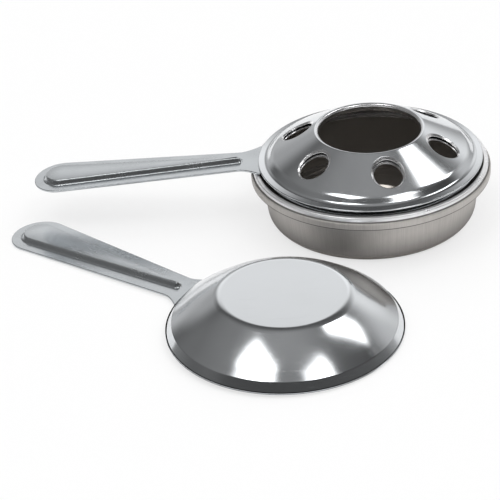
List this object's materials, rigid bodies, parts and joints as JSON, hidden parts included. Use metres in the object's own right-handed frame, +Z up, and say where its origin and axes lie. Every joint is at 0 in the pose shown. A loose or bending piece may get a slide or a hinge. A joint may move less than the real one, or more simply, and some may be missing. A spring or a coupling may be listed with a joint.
{
  "type": "spirit burner with snuffer cap",
  "caption": "Round stainless-steel table burner: fuel pan, perforated domed regulator cover with a flat stamped handle, and a loose dished snuffer cap with its own handle.",
  "frame": {"origin": "centre of the pan's base on the table", "axes": "+Z up, the burner's axis, about which the regulator turns; at rest the regulator's handle points 174 degrees round from +X and the snuffer lies towards -Y"},
  "size_m": [0.2059, 0.1892, 0.0412],
  "materials": {
    "satin_steel": "satin, drawn",
    "polished_steel": "polished stainless steel",
    "pressed_steel": "fine satin, pressed"
  },
  "bodies": {
    "pan": {"fuel_pan": "satin_steel"},
    "ring": {"air_ring": "polished_steel"},
    "regulator": {"regulator_cover": "polished_steel", "regulator_handle": "pressed_steel"},
    "snuffer": {"snuffer_cap": "polished_steel", "snuffer_handle": "pressed_steel"}
  },
  "joints": [
    {"name": "ring_lift", "type": "slide", "parent": "pan", "child": "ring", "axis": [0, 0, 1], "range_m": [0, 0.06]},
    {"name": "cover_turn", "type": "hinge", "parent": "ring", "child": "regulator", "pos_m": [0, 0, 0], "axis": [0, 0, 1], "continuous": true},
    {"name": "snuffer_lift", "type": "slide", "parent": "pan", "child": "snuffer", "axis": [-0.3746, -0.8122, 0.4472], "range_m": [0, 0.06]}
  ]
}
